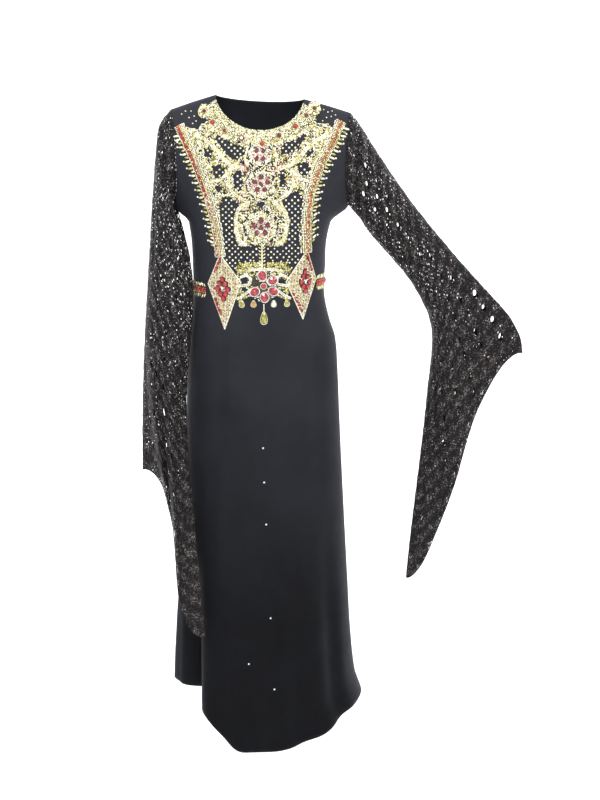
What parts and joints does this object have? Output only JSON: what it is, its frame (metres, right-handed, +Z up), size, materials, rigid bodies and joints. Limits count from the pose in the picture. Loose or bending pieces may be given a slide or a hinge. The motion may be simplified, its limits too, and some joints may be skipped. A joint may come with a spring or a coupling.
{
  "type": "kaftan",
  "caption": "Long close-fitting gown in black crepe, shown worn, with wide hanging lace sleeves and a gold and red bead front with a jewelled belt.",
  "frame": {"origin": "half way between the two points where the shoulder seams meet the neckline, where the shoulders carry the gown", "axes": "+Z up from the hem to the shoulders, +X to the right of someone who faces the front, +Y to the back of the gown"},
  "size_m": [0.831, 0.3652, 1.4363],
  "materials": {
    "black_crepe": "matt stretch crepe with a faint bluish sheen",
    "black_lace": "stiff flower lace, rough",
    "gold_beads": "small pale gold beads, half polished",
    "red_stones": "cut glass, polished",
    "amber_drop": "cut glass, polished"
  },
  "bodies": {
    "root": {"front_yoke": "black_crepe", "front_waist": "black_crepe", "front_skirt": "black_crepe", "front_hem": "black_crepe", "back_yoke": "black_crepe", "back_waist": "black_crepe", "back_skirt": "black_crepe", "back_hem": "black_crepe", "sleeve_left_front_upper": "black_lace", "sleeve_left_front_middle": "black_lace", "sleeve_left_front_lower": "black_lace", "sleeve_left_back_upper": "black_lace", "sleeve_left_back_middle": "black_lace", "sleeve_left_back_lower": "black_lace", "sleeve_right_front": "black_lace", "sleeve_right_back": "black_lace", "neckline_band": "gold_beads", "v_band_left": "gold_beads", "v_band_right": "gold_beads", "rosette_upper": "red_stones", "rosette_middle": "red_stones", "rosette_lower": "red_stones", "belt_flower": "red_stones", "belt_diamond_left": "gold_beads", "belt_diamond_right": "gold_beads", "belt_drop_1": "amber_drop", "belt_drop_2": "amber_drop", "belt_drop_3": "amber_drop", "belt_drop_4": "amber_drop", "belt_pendant": "amber_drop", "belt_strap_left": "gold_beads", "belt_strap_right": "gold_beads"}
  },
  "joints": []
}
